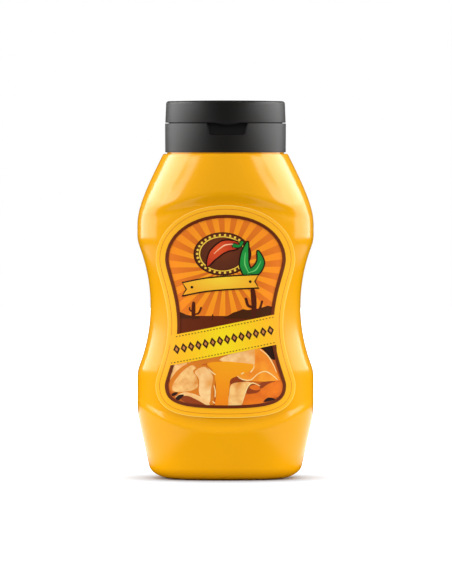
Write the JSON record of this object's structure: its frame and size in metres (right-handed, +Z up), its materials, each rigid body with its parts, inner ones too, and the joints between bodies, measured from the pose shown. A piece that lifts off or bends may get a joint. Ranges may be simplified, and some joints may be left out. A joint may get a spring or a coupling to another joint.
{
  "type": "squeeze sauce bottle",
  "caption": "Waisted oval squeeze bottle filled with yellow sauce, shut under a black flip-top cap, with a shaped label set into a panel on its front and back.",
  "frame": {"origin": "centre of the standing ring, on the surface that the bottle stands on", "axes": "+Z up along the bottle; -Y is the front with the finger notch; +X is to the right of someone facing the front"},
  "size_m": [0.07, 0.052, 0.15],
  "materials": {
    "bottle": "satin-gloss blow-moulded plastic, coloured by the yellow sauce",
    "cap": "satin black moulded plastic",
    "label_front": "satin film printed in yellow, orange and brown",
    "label_back": "satin film printed in yellow with a plain frame"
  },
  "bodies": {
    "root": {"bottle": "bottle", "cap_base": "cap", "cap_lid": "cap", "cap_hinge": "cap", "label_front": "label_front", "label_back": "label_back"}
  },
  "joints": []
}
